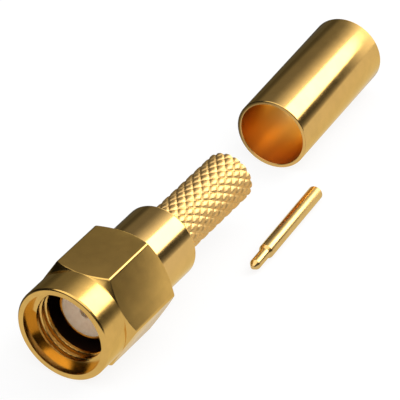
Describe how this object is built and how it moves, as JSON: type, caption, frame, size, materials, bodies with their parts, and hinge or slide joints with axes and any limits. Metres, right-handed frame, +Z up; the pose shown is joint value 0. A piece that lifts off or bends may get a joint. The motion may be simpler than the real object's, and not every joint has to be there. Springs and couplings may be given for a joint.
{
  "type": "sma crimp plug",
  "caption": "Coaxial SMA crimp plug with a free-turning hexagonal coupling nut and knurled stub, and its loose crimp ferrule and centre contact.",
  "frame": {"origin": "centre of the mating reference plane, where the outer conductor sleeve and the insulator end, on the plug's axis", "axes": "X along the plug, which mates towards -X and takes its cable from +X; +Z up from the surface that the nut's flat, the ferrule and the contact lie on"},
  "size_m": [0.0455, 0.0105, 0.008],
  "materials": {
    "body_gold": "bright gold plate",
    "nut_gold": "bright gold plate",
    "ferrule_gold": "bright gold plate",
    "contact_gold": "bright gold plate",
    "ring_bronze": "plain spring bronze",
    "gasket_rubber": "matt black",
    "insulator_plastic": "waxy off-white"
  },
  "bodies": {
    "plug": {"connector_body": "body_gold", "gasket": "gasket_rubber", "insulator": "insulator_plastic", "centre_contact": "contact_gold", "crimp_ferrule": "ferrule_gold"},
    "ring": {"retaining_ring": "ring_bronze"},
    "nut": {"coupling_nut": "nut_gold"}
  },
  "joints": [
    {"name": "nut_float", "type": "slide", "parent": "plug", "child": "ring", "axis": [1, 0, 0], "range_m": [0, 0.0003]},
    {"name": "nut_spin", "type": "hinge", "parent": "ring", "child": "nut", "pos_m": [0, 0, 0], "axis": [1, 0, 0], "continuous": true}
  ]
}
